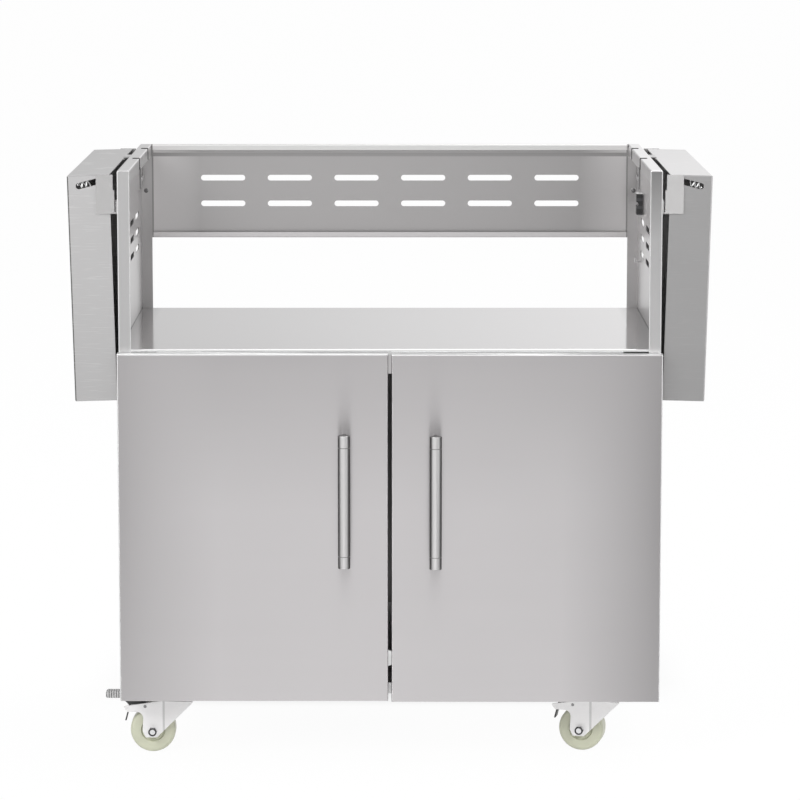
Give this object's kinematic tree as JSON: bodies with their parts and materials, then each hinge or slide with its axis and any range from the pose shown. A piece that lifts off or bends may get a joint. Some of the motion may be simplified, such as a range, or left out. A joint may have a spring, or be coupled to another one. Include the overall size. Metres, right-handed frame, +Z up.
{
  "type": "grill cart",
  "caption": "Stainless cart for a drop-in grill head: open bay with a slotted back, flat deck, two-door cabinet, fold-down side shelves and swivel casters, some with brakes.",
  "frame": {"origin": "on the floor under the middle of the cart's bounding box, both shelves folded and both doors closed", "axes": "+X to the right seen from the front, +Y from the front to the back, +Z up"},
  "size_m": [1.0428, 0.631, 0.973],
  "materials": {
    "stainless": "brushed stainless sheet",
    "polished_stainless": "fine satin stainless",
    "zinc": "zinc plated",
    "nylon": "cream nylon",
    "grey_plastic": "moulded grey",
    "black_plastic": "moulded black",
    "rubber": "soft rubber"
  },
  "bodies": {
    "cart": {"bottom_panel": "stainless", "bracket_backings": "stainless", "bracket_bolts": "stainless", "caster_bolts": "zinc", "caster_plate_fl": "zinc", "caster_plate_fr": "zinc", "caster_plate_rl": "zinc", "caster_plate_rr": "zinc", "deck_panel": "polished_stainless", "door_bumpers": "rubber", "door_magnets": "black_plastic", "hinge_lugs": "zinc", "hinge_pins": "zinc", "hose_clip": "black_plastic", "hose_hook": "stainless", "lower_back_panel": "stainless", "panel_rivets": "stainless", "rear_vent_panel": "stainless", "rim_tabs": "stainless", "shelf_bracket_left_front": "stainless", "shelf_bracket_left_rear": "stainless", "shelf_bracket_right_front": "stainless", "shelf_bracket_right_rear": "stainless", "shelf_bumpers": "rubber", "shelf_bushes": "black_plastic", "side_panel_left": "stainless", "side_panel_right": "stainless"},
    "door_left": {"door_skin_left": "stainless", "door_liner_left": "stainless", "strike_plate_left": "zinc", "handle_tube_left": "polished_stainless", "handle_posts_left": "polished_stainless", "handle_screws_left": "stainless"},
    "rod_left": {"shelf_rod_left": "zinc"},
    "shelf_left": {"shelf_pan_left": "stainless"},
    "door_right": {"door_skin_right": "stainless", "door_liner_right": "stainless", "strike_plate_right": "zinc", "handle_tube_right": "polished_stainless", "handle_posts_right": "polished_stainless", "handle_screws_right": "stainless"},
    "rod_right": {"shelf_rod_right": "zinc"},
    "shelf_right": {"shelf_pan_right": "stainless"},
    "fork_fl": {"caster_fork_fl": "zinc", "axle_fl": "zinc", "pedal_pin_fl": "zinc"},
    "wheel_fl": {"wheel_fl": "nylon"},
    "pedal_fl": {"brake_pedal_fl": "grey_plastic"},
    "fork_fr": {"caster_fork_fr": "zinc", "axle_fr": "zinc", "pedal_pin_fr": "zinc"},
    "wheel_fr": {"wheel_fr": "nylon"},
    "pedal_fr": {"brake_pedal_fr": "grey_plastic"},
    "fork_rl": {"caster_fork_rl": "zinc", "axle_rl": "zinc"},
    "wheel_rl": {"wheel_rl": "nylon"},
    "fork_rr": {"caster_fork_rr": "zinc", "axle_rr": "zinc"},
    "wheel_rr": {"wheel_rr": "nylon"}
  },
  "joints": [
    {"name": "door_left_swing", "type": "hinge", "parent": "cart", "child": "door_left", "pos_m": [-0.4335, -0.2595, 0.3932], "axis": [0, 0, -1], "range_deg": [0, 110]},
    {"name": "shelf_left_fold", "type": "hinge", "parent": "cart", "child": "rod_left", "pos_m": [-0.47, 0.033, 0.9556], "axis": [0, 1, 0], "range_deg": [0, 91.45]},
    {"name": "shelf_left_drop", "type": "slide", "parent": "rod_left", "child": "shelf_left", "axis": [0.967, 0, 0.2546], "range_m": [0, 0.022]},
    {"name": "door_right_swing", "type": "hinge", "parent": "cart", "child": "door_right", "pos_m": [0.4335, -0.2595, 0.3932], "axis": [0, 0, 1], "range_deg": [0, 110]},
    {"name": "shelf_right_fold", "type": "hinge", "parent": "cart", "child": "rod_right", "pos_m": [0.47, 0.033, 0.9556], "axis": [0, -1, 0], "range_deg": [0, 91.45]},
    {"name": "shelf_right_drop", "type": "slide", "parent": "rod_right", "child": "shelf_right", "axis": [-0.967, 0, 0.2546], "range_m": [0, 0.022]},
    {"name": "caster_fl_swivel", "type": "hinge", "parent": "cart", "child": "fork_fl", "pos_m": [-0.357, -0.1745, 0.1], "axis": [0, 0, 1], "continuous": true},
    {"name": "wheel_fl_spin", "type": "hinge", "parent": "fork_fl", "child": "wheel_fl", "pos_m": [-0.3936, -0.1745, 0.0375], "axis": [0, 1, 0], "continuous": true},
    {"name": "brake_fl_press", "type": "hinge", "parent": "fork_fl", "child": "pedal_fl", "pos_m": [-0.406, -0.1745, 0.079], "axis": [0, -1, 0], "range_deg": [0, 12]},
    {"name": "caster_fr_swivel", "type": "hinge", "parent": "cart", "child": "fork_fr", "pos_m": [0.357, -0.1745, 0.1], "axis": [0, 0, 1], "continuous": true},
    {"name": "wheel_fr_spin", "type": "hinge", "parent": "fork_fr", "child": "wheel_fr", "pos_m": [0.32149, -0.16565, 0.0375], "axis": [0.2419, 0.9703, 0], "continuous": true},
    {"name": "brake_fr_press", "type": "hinge", "parent": "fork_fr", "child": "pedal_fr", "pos_m": [0.30946, -0.16265, 0.079], "axis": [-0.2419, -0.9703, 0], "range_deg": [0, 12]},
    {"name": "caster_rl_swivel", "type": "hinge", "parent": "cart", "child": "fork_rl", "pos_m": [-0.357, 0.2455, 0.1], "axis": [0, 0, 1], "continuous": true},
    {"name": "wheel_rl_spin", "type": "hinge", "parent": "fork_rl", "child": "wheel_rl", "pos_m": [-0.3936, 0.2455, 0.0375], "axis": [0, 1, 0], "continuous": true},
    {"name": "caster_rr_swivel", "type": "hinge", "parent": "cart", "child": "fork_rr", "pos_m": [0.357, 0.2455, 0.1], "axis": [0, 0, 1], "continuous": true},
    {"name": "wheel_rr_spin", "type": "hinge", "parent": "fork_rr", "child": "wheel_rr", "pos_m": [0.3204, 0.2455, 0.0375], "axis": [0, 1, 0], "continuous": true}
  ],
  "couplings": [
    {"joint": "shelf_left_drop", "follows": "shelf_left_fold", "m_per_rad": 0.013783},
    {"joint": "shelf_right_drop", "follows": "shelf_right_fold", "m_per_rad": 0.013783}
  ]
}
